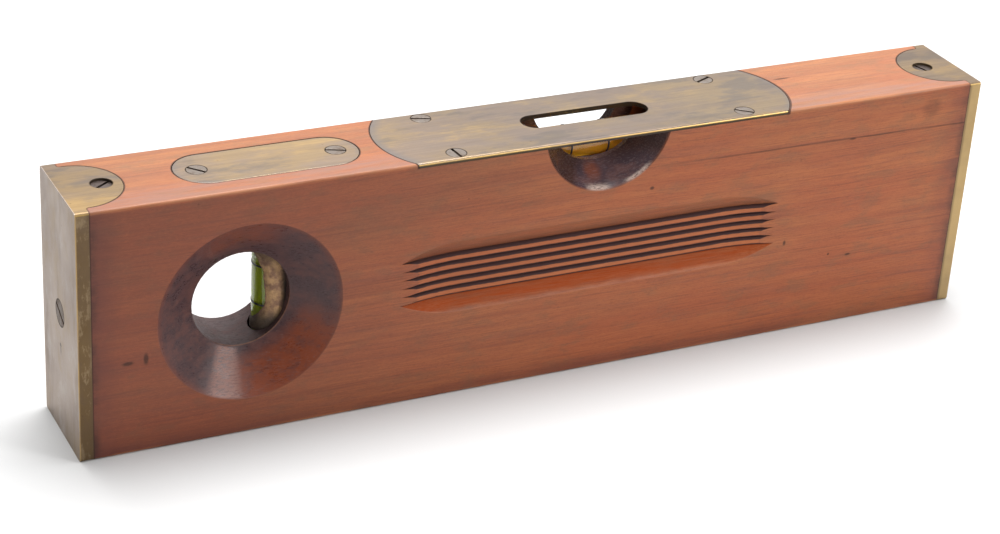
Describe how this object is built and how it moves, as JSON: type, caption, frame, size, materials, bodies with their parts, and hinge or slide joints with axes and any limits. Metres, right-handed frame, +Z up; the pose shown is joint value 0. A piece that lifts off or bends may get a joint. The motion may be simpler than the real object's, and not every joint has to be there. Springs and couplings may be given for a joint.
{
  "type": "plumb and level",
  "caption": "Wooden plumb and level with brass ends and sight plate, two liquid vials with sliding bubbles, conical eyes and reeded hand grips.",
  "frame": {"origin": "middle of the base, on the surface that the tool rests on", "axes": "+X along the stock away from the plumb eye, +Y from the front face to the back, +Z up from base to sight plate"},
  "size_m": [0.254, 0.0286, 0.067],
  "materials": {
    "stained_wood": "worn satin varnish over reddish wood",
    "brass_caps": "aged, with bright worn edges",
    "brass_plates": "aged, with bright worn edges",
    "brass_screws": "dull, filed flush",
    "dark_steel": "darkened steel",
    "bright_steel": "worn",
    "vial_glass": "clear",
    "spirit": "clear yellow-green liquid",
    "vapour": "clear",
    "black_paint": "black line",
    "plaster": "old yellowed plaster"
  },
  "bodies": {
    "tool": {"stock": "stained_wood", "left_end_cap": "brass_caps", "right_end_cap": "brass_caps", "left_end_screw": "brass_screws", "right_end_screw": "brass_screws", "left_lug_screws": "dark_steel", "right_lug_screws": "dark_steel", "sight_plate": "brass_plates", "sight_plate_screws": "bright_steel", "plumb_plate": "brass_plates", "plumb_plate_screws": "bright_steel", "level_vial_glass": "vial_glass", "level_vial_spirit": "spirit", "level_vial_lines": "black_paint", "level_vial_plaster": "plaster", "plumb_vial_glass": "vial_glass", "plumb_vial_spirit": "spirit", "plumb_vial_lines": "black_paint", "plumb_vial_plaster": "plaster"},
    "level_bubble": {"level_vial_bubble": "vapour"},
    "plumb_bubble": {"plumb_vial_bubble": "vapour"}
  },
  "joints": [
    {"name": "level_bubble_slide", "type": "slide", "parent": "tool", "child": "level_bubble", "axis": [1, 0, 0], "range_m": [-0.013, 0.013], "stiffness_N_per_m": 0.5, "deforming": ["level_vial_spirit"]},
    {"name": "plumb_bubble_slide", "type": "slide", "parent": "tool", "child": "plumb_bubble", "axis": [0, 0, 1], "range_m": [-0.036, 0], "stiffness_N_per_m": 1, "springref_m": 0.012, "deforming": ["plumb_vial_spirit"]}
  ]
}
